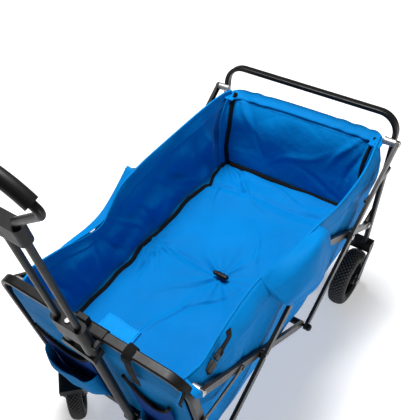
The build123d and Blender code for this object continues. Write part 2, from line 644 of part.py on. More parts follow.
front_pin = rivet(EAR_X, EAR_Z, EAR_OUTSIDE - EAR_THICK, OUTER_ARM[1] + 0.3)
rear_pin = rivet(-EAR_X, EAR_Z, EAR_OUTSIDE - EAR_THICK, INNER_ARM[1] + 0.3)
rear_stud = to_rear(strut_stud(REAR_STRUT_Y, headed=False))
save("front_pivot_pins", *left_and_right(front_pin), *left_and_right(strut_stud(FRONT_STRUT_Y)))
save("rear_pivot_pins", *left_and_right(rear_pin), *left_and_right(rear_stud))
front_spacer = pivot_spacer(EAR_X, OUTER_ARM[0])
rear_spacer = pivot_spacer(-EAR_X, INNER_ARM[0])
front_strut_spacer = strut_spacer(FRONT_STRUT_Y)
rear_strut_spacer = to_rear(strut_spacer(REAR_STRUT_Y))
save("front_spacers", *left_and_right(front_spacer), *left_and_right(front_strut_spacer))
save("rear_spacers", *left_and_right(rear_spacer), *left_and_right(rear_strut_spacer))

save("inner_front_arms", *left_and_right(inner_front_arm()))
save("outer_front_arms", *left_and_right(outer_front_arm()))
save("inner_rear_arms", *left_and_right(inner_rear_arm()))
save("outer_rear_arms", *left_and_right(outer_rear_arm()))

save("front_cross_pins", *left_and_right(cross_pin(CROSS_X)))
save("rear_cross_pins", *left_and_right(cross_pin(-CROSS_X)))
save("front_cross_spacers", *left_and_right(cross_spacer(CROSS_X)))
save("rear_cross_spacers", *left_and_right(cross_spacer(-CROSS_X)))
save("top_pivot_pins", *left_and_right(rivet(0, TOP_Z, INNER_ARM[0] - 0.3, OUTER_ARM[1])))
low_tube = across(0, -INNER_ARM[0], INNER_ARM[0], LOW_Z, CROSS_TUBE_R, CROSS_TUBE_BORE)
save("low_cross_tube", low_tube)
low_pin = across(0, INNER_ARM[0], OUTER_ARM[1] + 0.3, LOW_Z, PIN_R)
low_pin += domed_head(0, OUTER_ARM[1] + 0.3, LOW_Z, FOOT_HEAD_R, FOOT_HEAD_TALL, 1)
save("low_pivot_feet", *left_and_right(low_pin))
save("front_head_pins", *left_and_right(head_pin(HEAD_X, INNER_ARM)))
save("rear_head_pins", *left_and_right(head_pin(-HEAD_X, OUTER_ARM)))

save("front_struts", *left_and_right(strut(FRONT_STRUT_Y) + strut_rivet(FRONT_STRUT_Y, 1)))
save("rear_struts", *left_and_right(to_rear(strut(REAR_STRUT_Y) + strut_rivet(REAR_STRUT_Y, -1))))
save("rear_axles", *left_and_right(rear_axle()))
for word, side in (("left", 1), ("right", -1)):
    rear_at = (REAR_AXLE_X, side * REAR_Y, REAR_R, REAR_R, REAR_WIDE)
    save(f"rear_tyre_{word}", tyre(*rear_at))
    save(f"rear_rim_{word}", rim(*rear_at))
    place = caster_frame(side)
    front_at = (CASTER_TRAIL, 0, FRONT_R, FRONT_R, FRONT_WIDE)
    save(f"front_tyre_{word}", place * tyre(*front_at))
    save(f"front_rim_{word}", place * rim(*front_at))
    save(f"caster_fork_{word}", place * caster_fork())
    save(f"caster_axle_{word}", place * caster_axle())

save("handle_bracket", handle_bracket())
hinge = hinge_point()
save("handle_hinge_pin", rivet(hinge.X, hinge.Z, STEM_Y - 17, STEM_Y + 17, AXLE_R, 8, 3))
save("handle_lower_tube", handle_stem())
sleeves = [
    bar_along(ROD_SPREAD, STEM_SLEEVE_LOW, HEAD_LOW, STEM_SLEEVE_R, STEM_R + BORE_PLAY),
    bar_along(-ROD_SPREAD, ROD_SLEEVE_LOW, HEAD_LOW, ROD_SLEEVE_R, ROD_BORE_R),
]
save("handle_sleeves", *sleeves)
save("handle_yoke", handle_yoke())
save("handle_head", handle_head())
save("handle_lock_button", lock_button())
rods = [bar_along(x, ROD_LOW, ROD_TOP, ROD_R, ROD_R - 1.5) for x in (-ROD_SPREAD, ROD_SPREAD)]
save("handle_rods", *rods)
save("handle_top_yoke", top_yoke())
loop_path, arch_path = loop_tube()
save("handle_loop", swept_tube(loop_path, ROD_R, ROD_R - 1.5))
save("handle_grip", swept_tube(arch_path, GRIP_R, ROD_R + BORE_PLAY))
save("handle_clip", handle_clip())

save("bag_floor", floor_sheet())
save("bag_sides", *left_and_right(side_sheet()))
save("bag_front", front_sheet())
save("bag_rear", rear_sheet())
save("front_pockets", pocket(-110, 170, 130, 290), pocket(130, 150, 100, 250))
save("rail_strap", rail_strap())
save("floor_grip", floor_grip())
save("floor_flap", floor_flap())
save("corner_buckle", corner_buckle())

print(len(made), "pieces")
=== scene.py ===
import json
import bmesh
import bpy
import numpy as np
from math import atan2, cos, hypot, pi, radians, sin, sqrt
from mathutils import Matrix, Vector


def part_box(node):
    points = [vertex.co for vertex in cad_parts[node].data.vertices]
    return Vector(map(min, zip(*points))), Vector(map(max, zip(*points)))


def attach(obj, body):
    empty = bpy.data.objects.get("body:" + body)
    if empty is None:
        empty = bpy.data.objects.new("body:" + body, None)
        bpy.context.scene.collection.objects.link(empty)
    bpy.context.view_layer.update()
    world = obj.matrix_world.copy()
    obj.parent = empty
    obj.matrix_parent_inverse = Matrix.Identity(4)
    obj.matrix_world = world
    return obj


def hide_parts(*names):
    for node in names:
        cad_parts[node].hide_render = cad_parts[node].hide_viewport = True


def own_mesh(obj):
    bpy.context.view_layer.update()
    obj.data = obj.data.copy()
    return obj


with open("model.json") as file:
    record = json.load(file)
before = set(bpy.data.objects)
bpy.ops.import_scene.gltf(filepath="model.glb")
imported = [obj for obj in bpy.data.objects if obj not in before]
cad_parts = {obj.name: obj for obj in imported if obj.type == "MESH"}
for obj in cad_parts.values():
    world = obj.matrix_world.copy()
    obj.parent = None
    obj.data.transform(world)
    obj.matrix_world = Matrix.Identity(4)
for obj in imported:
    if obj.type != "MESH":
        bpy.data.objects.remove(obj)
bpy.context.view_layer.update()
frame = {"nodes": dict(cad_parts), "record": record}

# ------------------------------------------------------------------ places taken from the frame
# everything below is laid out from the middle of the side linkage, midway between the two hoops
LINK_X = (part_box("front_hoop")[1][0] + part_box("rear_hoop")[0][0]) / 2
LINKAGE = Vector((LINK_X, 0, 0))


def box_of(node):
    """Lowest and highest corners of a frame piece, from the middle of the linkage."""
    low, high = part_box(node)
    return Vector(low) - LINKAGE, Vector(high) - LINKAGE


FLOOR_LOW, FLOOR_HIGH = box_of("bag_floor")
FLOOR_Z = FLOOR_HIGH[2]
FLOOR_FRONT, FLOOR_REAR = FLOOR_HIGH[0], FLOOR_LOW[0]
FLOOR_HALF = FLOOR_HIGH[1]
GRIP_LOW, GRIP_HIGH = box_of("floor_grip")
GRIP_X, GRIP_Y = (GRIP_LOW[0] + GRIP_HIGH[0]) / 2, (GRIP_LOW[1] + GRIP_HIGH[1]) / 2
POST_RUN, POST_RISE = 0.059, 0.388      # how far a hoop's post leans outwards, and how high it rises
LEAN = atan2(POST_RUN, POST_RISE)
POST_LENGTH = hypot(POST_RUN, POST_RISE)
FOOT_X, FOOT_Z = 0.388, 0.190           # foot of the front post
CLOTH = 0.0016                          # thickness of the cloth


def post_x(z):
    """Middle of the front post at a height."""
    return FOOT_X + (z - FOOT_Z) * POST_RUN / POST_RISE


# ------------------------------------------------------------------ materials
class Graph:
    """A material's node tree, written as nested calls."""

    def __init__(self, name):
        self.material = bpy.data.materials.new(name)
        self.material.use_nodes = True
        self.tree = self.material.node_tree
        self.shader = self.tree.nodes["Principled BSDF"]

    def node(self, kind, settings=None, **inputs):
        """New node with its settings and inputs; an input's name has _ for each space."""
        made = self.tree.nodes.new(kind)
        for key, value in (settings or {}).items():
            setattr(made, key, value)
        for key, value in inputs.items():
            self.put(made.inputs[key.replace("_", " ")], value)
        return made

    def put(self, socket, value):
        """Link a socket to another one, or give it a plain value."""
        if isinstance(value, bpy.types.NodeSocket):
            self.tree.links.new(value, socket)
        else:
            socket.default_value = value

    def math(self, operation, a, b=0.0):
        made = self.tree.nodes.new("ShaderNodeMath")
        made.operation = operation
        self.put(made.inputs[0], a)
        self.put(made.inputs[1], b)
        return made.outputs[0]

    def place(self, kind="Object"):
        return self.node("ShaderNodeTexCoord").outputs[kind]

    def noise(self, scale, detail=4.0, where=None, rough=0.55):
        made = self.node(
            "ShaderNodeTexNoise",
            Scale=scale,
            Detail=detail,
            Roughness=rough,
            Vector=where or self.place(),
        )
        return made.outputs["Fac"]

    def ramp(self, value, low, high, first, last):
        """Remap a value between two thresholds to a range."""
        made = self.node("ShaderNodeMapRange", Value=value)
        for key, number in zip(("From Min", "From Max", "To Min", "To Max"), (low, high, first, last)):
            made.inputs[key].default_value = number
        return made.outputs[0]

    def mix(self, amount, a, b):
        """Mix two colours."""
        made = self.node("ShaderNodeMix", {"data_type": "RGBA"})
        self.put(made.inputs[0], amount)
        self.put(made.inputs[6], a)
        self.put(made.inputs[7], b)
        return made.outputs[2]

    def bump(self, height, strength, distance, under=None):
        made = self.node("ShaderNodeBump", Height=height, Strength=strength, Distance=distance)
        if under:
            self.put(made.inputs["Normal"], under)
        return made.outputs[0]

    def finish(self, **inputs):
        """Fill in the shader's inputs and give the material back."""
        for key, value in inputs.items():
            self.put(self.shader.inputs[key.replace("_", " ")], value)
        return self.material


def rgb(r, g, b):
    return (r, g, b, 1.0)


THREAD_PITCH = 0.0011                   # spacing of the cloth's threads
RIB_PITCH, CORD_PITCH = 0.0016, 0.003   # spacing of the tape's ribs and cords


def coated_fabric(name, colour, dark, rough=0.6):
    """Woven polyester with a thin coating: fine plain weave, soft creases and slight fading."""
    g = Graph(name)
    uv = g.node("ShaderNodeSeparateXYZ", Vector=g.place("UV"))
    threads = 2 * pi / THREAD_PITCH
    warp = g.math("SINE", g.math("MULTIPLY", uv.outputs[0], threads))
    weft = g.math("SINE", g.math("MULTIPLY", uv.outputs[1], threads))
    weave = g.math("MULTIPLY", warp, weft)
    folds = g.node("ShaderNodeTexNoise", Scale=4.5, Detail=1.0, Distortion=1.0, Vector=g.place())
    ridges = g.math("ABSOLUTE", g.math("SUBTRACT", folds.outputs["Fac"], 0.5))
    creases = g.noise(14.0, 5.0, rough=0.6)
    fading = g.noise(5.0, 3.0)
    shade = g.ramp(fading, 0.3, 0.75, 0.0, 1.0)
    tone = g.mix(shade, dark, colour)
    tone = g.mix(g.ramp(weave, -1.0, 1.0, 0.0, 0.10), tone, dark)
    normal = g.bump(g.ramp(ridges, 0.0, 0.07, 0.0, 1.0), 0.22, 0.005)
    normal = g.bump(creases, 0.4, 0.014, normal)
    normal = g.bump(weave, 0.18, 0.0003, normal)
    return g.finish(
        Base_Color=tone,
        Roughness=g.ramp(creases, 0.3, 0.8, rough - 0.07, rough + 0.1),
        Specular_IOR_Level=0.04,
        Normal=normal,
    )


def mesh_fabric(name, colour):
    """Open knitted mesh of the pockets."""
    g = Graph(name)
    to_edge = {"feature": "DISTANCE_TO_EDGE"}
    cells = g.node("ShaderNodeTexVoronoi", to_edge, Scale=520.0, Vector=g.place("UV"))
    holes = g.ramp(cells.outputs["Distance"], 0.04, 0.2, 1.0, 0.0)
    folds = g.noise(30.0)
    tone = g.mix(holes, colour, rgb(0.0003, 0.024, 0.15))
    normal = g.bump(folds, 0.4, 0.01, g.bump(holes, 0.5, 0.0006))
    return g.finish(Base_Color=tone, Roughness=0.8, Specular_IOR_Level=0.08, Normal=normal)


def powder_coat(name, colour, rough=0.42):
    """Satin powder coat: fine orange peel, rubbed lighter in patches."""
    g = Graph(name)
    peel = g.noise(900.0, 2.0)
    wear = g.ramp(g.noise(26.0, 6.0, rough=0.7), 0.62, 0.75, 0.0, 0.35)
    tone = g.mix(wear, colour, rgb(0.018, 0.017, 0.016))
    return g.finish(
        Base_Color=tone,
        Metallic=0.1,
        Specular_IOR_Level=0.22,
        Roughness=g.ramp(g.noise(60.0), 0.3, 0.7, rough - 0.06, rough + 0.08),
        Coat_Weight=0.15,
        Coat_Roughness=0.3,
        Normal=g.bump(peel, 0.12, 0.0004),
    )


def plated(name, colour, rough):
    """Plated steel with faint turning marks and a little dulling."""
    g = Graph(name)
    across = {"bands_direction": "Y"}
    lines = g.node("ShaderNodeTexWave", across, Scale=260.0, Distortion=1.5, Vector=g.place())
    dull = g.noise(140.0, 4.0)
    return g.finish(
        Base_Color=g.mix(g.ramp(dull, 0.4, 0.8, 0.0, 0.4), colour, rgb(0.30, 0.29, 0.28)),
        Metallic=1.0,
        Roughness=g.ramp(dull, 0.3, 0.8, rough, rough + 0.2),
        Normal=g.bump(lines.outputs["Fac"], 0.05, 0.0004),
    )


def moulded(name, colour, rough=0.5, grain=1500.0, strength=0.25):
    """Moulded plastic or rubber with a fine spark-eroded grain."""
    g = Graph(name)
    pits = g.noise(grain, 2.0)
    dust = g.ramp(g.noise(22.0, 5.0, rough=0.65), 0.5, 0.8, 0.0, 0.25)
    return g.finish(
        Base_Color=g.mix(dust, colour, rgb(0.014, 0.013, 0.012)),
        Specular_IOR_Level=0.22,
        Roughness=g.ramp(g.noise(40.0), 0.3, 0.7, rough - 0.05, rough + 0.08),
        Normal=g.bump(pits, strength, 0.0004),
    )


def tape_fabric(name, colour):
    """Woven webbing or binding tape with ribs across it."""
    g = Graph(name)
    uv = g.node("ShaderNodeSeparateXYZ", Vector=g.place("UV"))
    ribs = g.math("SINE", g.math("MULTIPLY", uv.outputs[0], 2 * pi / RIB_PITCH))
    cords = g.math("SINE", g.math("MULTIPLY", uv.outputs[1], 2 * pi / CORD_PITCH))
    weave = g.math("MULTIPLY", ribs, cords)
    return g.finish(
        Base_Color=g.mix(g.ramp(weave, -1.0, 1.0, 0.0, 0.5), colour, rgb(0.012, 0.012, 0.013)),
        Roughness=0.8,
        Specular_IOR_Level=0.15,
        Normal=g.bump(weave, 0.4, 0.0006),
    )


def tread_rubber(name, groove, top):
    """Tyre rubber with painted shade: darker down in the tread's grooves and lighter on the blocks that stand up;
    the first texture coordinate is its height.
    """
    g = Graph(name)
    uv = g.node("ShaderNodeSeparateXYZ", Vector=g.place("UV"))
    return g.finish(
        # painted shade: the colour goes from dark in the grooves to lighter on the blocks, by the tread's height
        Base_Color=g.mix(g.ramp(uv.outputs[0], 0.1, 0.9, 0.0, 1.0), groove, top),
        Roughness=g.ramp(g.noise(40.0), 0.3, 0.7, 0.55, 0.7),
        Specular_IOR_Level=0.35,
        Normal=g.bump(g.noise(700.0, 2.0), 0.25, 0.0004),
    )


AZURE = coated_fabric("azure_polyester", rgb(0.0004, 0.205, 0.57), rgb(0.0003, 0.165, 0.47))
TEAL = coated_fabric("teal_polyester", rgb(0.0002, 0.175, 0.46), rgb(0.0002, 0.140, 0.38))
PALE = coated_fabric("pale_patch", rgb(0.006, 0.31, 0.74), rgb(0.004, 0.26, 0.66))
NAVY = mesh_fabric("navy_mesh", rgb(0.0004, 0.055, 0.30))
BINDING = tape_fabric("black_binding", rgb(0.003, 0.003, 0.0035))
THREAD = moulded("blue_thread", rgb(0.01, 0.16, 0.5), 0.7)
COAT = powder_coat("black_powder_coat", rgb(0.0045, 0.0045, 0.005))
ARM_COAT = powder_coat("arm_powder_coat", rgb(0.020, 0.017, 0.014), 0.38)
CHROME = plated("bright_plate", rgb(0.42, 0.42, 0.43), 0.40)
ZINC = plated("zinc_plate", rgb(0.36, 0.36, 0.37), 0.42)
PLASTIC = moulded("black_plastic", rgb(0.004, 0.004, 0.0045), 0.45)
RIM_PLASTIC = moulded("rim_plastic", rgb(0.008, 0.008, 0.009), 0.5)
GRIP_RUBBER = moulded("grip_rubber", rgb(0.005, 0.005, 0.0055), 0.42, 900.0, 0.15)
TREAD_RUBBER = tread_rubber("tread_rubber", rgb(0.0015, 0.0015, 0.0015), rgb(0.048, 0.048, 0.048))
TYRE_RUBBER = moulded("tyre_rubber", rgb(0.010, 0.010, 0.010), 0.7, 700.0, 0.3)

SLOT_LOOK = {
    "frame_black": COAT,
    "arm_black": ARM_COAT,
    "chrome": CHROME,
    "steel": ZINC,
    "black_plastic": PLASTIC,
    "rim_black": RIM_PLASTIC,
    "tyre": TYRE_RUBBER,
    "grip_rubber": GRIP_RUBBER,
    "blue_fabric": AZURE,
    "navy_mesh": NAVY,
    "webbing": BINDING,
}
for part in frame["record"]["subparts"]:
    thing = frame["nodes"][part["node"]]
    thing.data.materials.clear()
    thing.data.materials.append(SLOT_LOOK[part["material_slot"]])


# ------------------------------------------------------------------ mesh helpers
def place_mesh(name, data, look):
    """Object in the scene from a mesh, smooth shaded, in a material."""
    for polygon in data.polygons:
        polygon.use_smooth = True
    data.materials.append(look)
    made = bpy.data.objects.new(name, data)
    bpy.context.scene.collection.objects.link(made)
    return made


def add_mesh(name, verts, faces, look, uvs=None):
    """New object from vertices and faces, smooth shaded; uvs is one pair per vertex, in metres."""
    data = bpy.data.meshes.new(name)
    placed = np.array([tuple(v) for v in verts], float) + np.array(LINKAGE)
    data.from_pydata(placed.tolist(), [], [tuple(map(int, f)) for f in faces])
    if uvs is not None:
        layer = data.uv_layers.new(name="cloth")
        for loop in data.loops:
            layer.data[loop.index].uv = uvs[loop.vertex_index]
    data.validate()
    return place_mesh(name, data, look)


def grid_faces(rows, columns, closed=False):
    """Quads of a grid; closed joins the last column to the first."""
    faces = []
    for row in range(rows - 1):
        here, below = row * columns, (row + 1) * columns
        for a in range(columns if closed else columns - 1):
            b = (a + 1) % columns
            faces.append((here + a, here + b, below + b, below + a))
    return faces


def end_caps(rings, around):
    """Faces that close the first and last ring of a closed grid."""
    last = (rings - 1) * around
    return [tuple(range(around))[::-1], tuple(range(last, last + around))]


def run_along(path):
    """Distance from the start of a path to each of its points."""
    return np.concatenate([[0], np.cumsum(np.linalg.norm(np.diff(path, axis=0), axis=1))])


def sheet(name, points, look, thick=CLOTH, offset=0.0):
    """Cloth from a grid of points (rows, columns, 3), given thickness."""
    rows, columns, _ = points.shape
    along = np.zeros((rows, columns))
    along[:, 1:] = np.cumsum(np.linalg.norm(np.diff(points, axis=1), axis=2), axis=1)
    down = np.zeros((rows, columns))
    down[1:, :] = np.cumsum(np.linalg.norm(np.diff(points, axis=0), axis=2), axis=0)
    uvs = np.stack([along, down], axis=2).reshape(-1, 2)
    made = add_mesh(name, points.reshape(-1, 3), grid_faces(rows, columns), look, uvs)
    thicken = made.modifiers.new("thickness", "SOLIDIFY")
    thicken.thickness = thick
    thicken.offset = offset
    return made


def smooth_line(keys, count):
    """Smooth curve through key points (Catmull-Rom), as an array of points."""
    keys = np.array(keys, float)
    keys = np.vstack([2 * keys[0] - keys[1], keys, 2 * keys[-1] - keys[-2]])
    spans = len(keys) - 3
    out = []
    for t in np.linspace(0, spans, count):
        i = min(int(t), spans - 1)
        f = t - i
        a, b, c, d = keys[i : i + 4]
        square, cube = 2 * a - 5 * b + 4 * c - d, 3 * b - a - 3 * c + d
        out.append(0.5 * (2 * b + (c - a) * f + square * f**2 + cube * f**3))
    return np.array(out)


def ripples(a, b, seed, amount, length, count=7):
    """Soft undulation over two coordinates: a few plane waves in random directions."""
    rng = np.random.default_rng(seed)
    total = np.zeros(np.broadcast(a, b).shape)
    for _ in range(count):
        way = rng.uniform(0, 2 * pi)
        size = length * rng.uniform(0.6, 1.6)
        total += np.sin((a * cos(way) + b * sin(way)) * 2 * pi / size + rng.uniform(0, 2 * pi))
    return total * amount / sqrt(count)


def line_of(x, y, z):
    """Path from its three coordinates, where a plain number stays the same all along."""
    return np.stack(np.broadcast_arrays(x, y, z), axis=1)


def frames_along(path, up):
    """Side and normal directions along a path, keeping near a given up direction."""
    ahead = np.gradient(path, axis=0)
    ahead /= np.linalg.norm(ahead, axis=1)[:, None]
    up = np.broadcast_to(np.array(up, float), path.shape)
    side = np.cross(ahead, up)
    side /= np.linalg.norm(side, axis=1)[:, None]
    return ahead, side, np.cross(side, ahead)


TAPE_CORNERS = 10
TAPE_EDGE, TAPE_FACE = 0.35, 0.8        # powers that square the tape's section off, across and through


def signed_power(value, power):
    return abs(value) ** power * np.sign(value)


def strip(name, path, up, wide, thick, look):
    """Flat tape with rounded edges along a path; up is the direction its face looks."""
    path = np.array(path, float)
    _, side, normal = frames_along(path, up)
    angles = [2 * pi * i / TAPE_CORNERS for i in range(TAPE_CORNERS)]
    ring = [(signed_power(cos(a), TAPE_EDGE), signed_power(sin(a), TAPE_FACE)) for a in angles]
    points = np.array(
        [[p + s * u * wide / 2 + n * v * thick / 2 for u, v in ring] for p, s, n in zip(path, side, normal)]
    )
    uvs = [(along, u * wide / 2) for along in run_along(path) for u, v in ring]
    faces = grid_faces(len(path), TAPE_CORNERS, closed=True) + end_caps(len(path), TAPE_CORNERS)
    return add_mesh(name, points.reshape(-1, 3), faces, look, uvs)


STITCH_LENGTH, STITCH_GAP, STITCH_HALF = 0.0045, 0.0028, 0.00055
STITCH_RINGS = ((-0.5, 0.35), (-0.3, 1.0), (0.3, 1.0), (0.5, 0.35))     # place along the stitch, and size
STITCH_SIDES = ((1, 0), (0, 1), (-1, 0), (0, -1))


def stitches(name, path, up, lift):
    """Row of sewn stitches: short threads, thin at both ends, lying on the cloth along a path."""
    path = np.array(path, float)
    ahead, side, normal = frames_along(path, up)
    run = run_along(path)
    rings, around = len(STITCH_RINGS), len(STITCH_SIDES)
    verts, faces = [], []
    start = STITCH_GAP
    while start + STITCH_LENGTH < run[-1]:
        middle = start + STITCH_LENGTH / 2
        at, along, out, over = (
            np.array([np.interp(middle, run, values[:, k]) for k in range(3)])
            for values in (path, ahead, normal, side)
        )
        base = len(verts)
        for step, size in STITCH_RINGS:
            centre, reach = at + along * step * STITCH_LENGTH, size * STITCH_HALF
            verts += [centre + out * (lift + v * reach) + over * u * reach for u, v in STITCH_SIDES]
        one = grid_faces(rings, around, closed=True) + end_caps(rings, around)
        faces += [tuple(base + corner for corner in face) for face in one]
        start += STITCH_LENGTH + STITCH_GAP
    return add_mesh(name, verts, faces, THREAD)


def box_mesh(name, size, look, bevel, place):
    """Bevelled moulded block of a size, put in place by a matrix."""
    shape = bmesh.new()
    bmesh.ops.create_cube(shape, size=1.0, matrix=Matrix.Diagonal((*size, 1.0)))
    bmesh.ops.bevel(shape, geom=shape.edges[:], offset=bevel, segments=3, profile=0.6, affect="EDGES")
    shape.transform(Matrix.Translation(LINKAGE) @ place)
    data = bpy.data.meshes.new(name)
    shape.to_mesh(data)
    shape.free()
    return place_mesh(name, data, look)


def join(piece, body, replaced=None):
    """Ride a body, and stand in for a frame piece if one is named."""
    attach(piece, body)
    if replaced:
        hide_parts(replaced)


def gather(piece, replaced=None):
    """Ride the front frame, on a mesh of its own."""
    join(piece, "front_frame", replaced)
    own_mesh(piece)


def gather_floor(piece, replaced=None):
    """The same as gather: ride the front frame, on a mesh of its own."""
    gather(piece, replaced)


# ------------------------------------------------------------------ tyres
TREAD_DEPTH = 0.0034
TYRE_STEPS, KNOBS = 432, 46             # points and tread blocks round a tyre
SEAT_SHARE = 0.66                       # radius of the bead seat, as a share of the tyre's
SHOULDER, CROWN_DROP = 0.010, 0.0022
GROOVE, SLOPE = 0.24, 0.16              # half widths of a groove and of its sloping side, in tread blocks
WALL_STEP = 0.0006                      # step in from the shoulder to the side wall


def tyre_section(radius, wide):
    """Section of a tyre from bead to bead, as (radius, place across, share of the tread's depth)."""
    seat, half = radius * SEAT_SHARE, wide / 2
    crown, edge = [], []
    for t in np.linspace(-1, 1, 21):
        crown.append((radius - CROWN_DROP * t**2 - TREAD_DEPTH, t * (half - SHOULDER), 1.0))
    for t in np.linspace(0.15, 1, 9):
        a = t * pi / 2
        r = radius - CROWN_DROP - TREAD_DEPTH - SHOULDER * 1.25 * (1 - cos(a))
        edge.append((r, half - SHOULDER + SHOULDER * sin(a), max(0.0, 1 - t * 1.15)))
    for r in np.linspace(radius - 0.018, seat + 0.004, 5):
        bulge = ((r - seat) / (radius - seat) - 0.5) ** 2
        edge.append((r, half * (1.0 - 0.04 * bulge), 0.0))
    edge = [(r - WALL_STEP if abs(w - half * 0.99) < 0.0004 else r, w, depth) for r, w, depth in edge]
    edge.append((seat, half - 0.003, 0.0))
    return [(r, -w, depth) for r, w, depth in edge[::-1]] + crown + edge


def block_height(u, v):
    """Height of the diamond tread between its crossing grooves, from 0 in a groove to 1 on a block."""
    one, two = (u + v) % 1.0, (u - v) % 1.0
    ridge = min(abs(one - 0.5), abs(two - 0.5)) * 2
    return min(1.0, max(0.0, (ridge - GROOVE) / SLOPE))


def tyre(name, centre, radius, wide, axle, body, replaced):
    """Tyre with a moulded tread: a turned section whose surface is pushed out between the grooves."""
    section = tyre_section(radius, wide)
    count = len(section)
    blocks_per_metre = KNOBS / (2 * pi * radius)
    axle = Vector(axle).normalized()
    up = Vector((0, 0, 1))
    ahead = axle.cross(up)
    verts, tops = [], []
    for i in range(TYRE_STEPS):
        angle = 2 * pi * i / TYRE_STEPS
        out = ahead * cos(angle) + up * sin(angle)
        for r, w, depth in section:
            high = block_height(i / TYRE_STEPS * KNOBS, w * blocks_per_metre * 1.05)
            tops.append((high * depth if depth else 0.35, 0.0))
            verts.append(centre + out * (r + TREAD_DEPTH * high * depth) + axle * w)
    faces = []
    for i in range(TYRE_STEPS):
        here, there = i * count, (i + 1) % TYRE_STEPS * count
        for k in range(count):
            after = (k + 1) % count
            faces.append((here + k, there + k, there + after, here + after))
    made = add_mesh(name, verts, faces, TREAD_RUBBER, tops)
    join(made, body, replaced)


def centre_of(node):
    low, high = box_of(node)
    return (low + high) / 2


REAR_TYRE = {"radius": 0.086, "wide": 0.046, "axle": (0, 1, 0)}
FRONT_TYRE = {"radius": 0.076, "wide": 0.042, "axle": (-sqrt(0.5), sqrt(0.5), 0)}      # turned 45 degrees at rest
for word in ("left", "right"):
    for end, sizes in (("rear", REAR_TYRE), ("front", FRONT_TYRE)):
        node = f"{end}_tyre_{word}"
        tyre(f"{end}_tyre_tread_{word}", centre_of(node), body=f"{end}_wheel_{word}", replaced=node, **sizes)


# ------------------------------------------------------------------ creases in the cloth
def bump_at(x, middle, width):
    """Smooth bump of height 1 at a place, as wide to each side as width."""
    return np.exp(-(((x - middle) / width) ** 2))


def pulled(a, b, lines, sharp=0.006):
    """Pulled creases over two coordinates; each line is its middle, direction, half length and height."""
    total = np.zeros(np.broadcast(a, b).shape)
    for line_a, line_b, way, long, high in lines:
        along = (a - line_a) * cos(way) + (b - line_b) * sin(way)
        off = (b - line_b) * cos(way) - (a - line_a) * sin(way) + 0.008 * np.sin(along * 30)
        total += high * np.exp(-((off / sharp) ** 2) - (along / long) ** 2)
    return total


# each crease is its middle (two numbers), direction, half length and height; the middle is x and y
# on the floor, x and z on a side wall, and y and z on the rear wall
FLOOR_CREASES = (
    (0.018, -0.14, radians(84), 0.070, 0.0045),
    (0.045, -0.16, radians(50), 0.060, 0.0040),
    (0.080, -0.17, radians(20), 0.070, -0.0045),
    (0.110, 0.04, radians(-30), 0.090, -0.0035),
    (0.190, -0.02, radians(-12), 0.100, 0.0028),
    (-0.100, 0.06, radians(35), 0.080, 0.0025),
    (-0.300, -0.10, radians(62), 0.080, 0.0050),
    (-0.325, -0.13, radians(40), 0.060, -0.0045),
    (-0.330, 0.02, radians(80), 0.110, 0.0035),
    (-0.240, -0.16, radians(25), 0.060, 0.0040),
)
LEFT_CREASES = (
    (0.300, 0.480, radians(-48), 0.060, 0.0060),
    (0.250, 0.440, radians(-38), 0.070, -0.0050),
    (0.160, 0.500, radians(-62), 0.050, 0.0045),
    (0.100, 0.460, radians(-70), 0.060, 0.0060),
    (-0.020, 0.400, radians(60), 0.060, 0.0045),
    (-0.120, 0.430, radians(52), 0.070, 0.0050),
    (-0.220, 0.460, radians(35), 0.080, -0.0045),
    (-0.300, 0.470, radians(25), 0.070, 0.0040),
)
RIGHT_CREASES = (
    (0.330, 0.420, radians(70), 0.090, 0.0050),
    (0.260, 0.380, radians(80), 0.070, -0.0045),
    (0.190, 0.400, radians(100), 0.060, 0.0045),
    (0.130, 0.380, radians(68), 0.070, 0.0055),
    (0.060, 0.400, radians(58), 0.090, -0.0050),
    (-0.010, 0.380, radians(76), 0.080, 0.0050),
    (-0.100, 0.400, radians(64), 0.090, 0.0045),
    (-0.180, 0.360, radians(46), 0.070, -0.0055),
    (-0.250, 0.380, radians(98), 0.070, 0.0070),
    (-0.300, 0.430, radians(80), 0.080, -0.0060),
    (-0.345, 0.400, radians(105), 0.080, 0.0060),
)
REAR_CREASES = (
    (-0.160, 0.480, radians(-40), 0.050, 0.0050),
    (-0.120, 0.430, radians(-60), 0.080, -0.0030),
    (0.020, 0.400, radians(30), 0.090, 0.0030),
    (0.100, 0.340, radians(-20), 0.080, -0.0035),
    (0.150, 0.480, radians(62), 0.060, 0.0060),
    (0.175, 0.440, radians(80), 0.080, -0.0055),
    (0.190, 0.390, radians(98), 0.080, 0.0050),
)


# ------------------------------------------------------------------ tub: floor
def floor_edge(x):
    """How far out the floor's side edge runs: nipped in near the rear, where the stiffener ends."""
    rear_nip = 0.018 * bump_at(x, -0.262, 0.03) + 0.006 * bump_at(x, -0.21, 0.04)
    front_nip = 0.006 * bump_at(x, 0.10, 0.03)
    return FLOOR_HALF - rear_nip - front_nip + 0.0022 * np.sin(x * 21)


def pulls_round_grip(x, y):
    """Creases that run out from the pull grip like spokes."""
    reach = np.sqrt((x - GRIP_X) ** 2 + (y - GRIP_Y) ** 2)
    turn = np.arctan2(y - GRIP_Y, x - GRIP_X)
    spokes = np.sin(turn * 5 + 0.8) + 0.6 * np.sin(turn * 9 + 2.1) + 0.4 * np.sin(turn * 14)
    return 0.0040 * spokes * np.exp(-((reach / 0.12) ** 1.4)) * np.minimum(1, reach / 0.02)


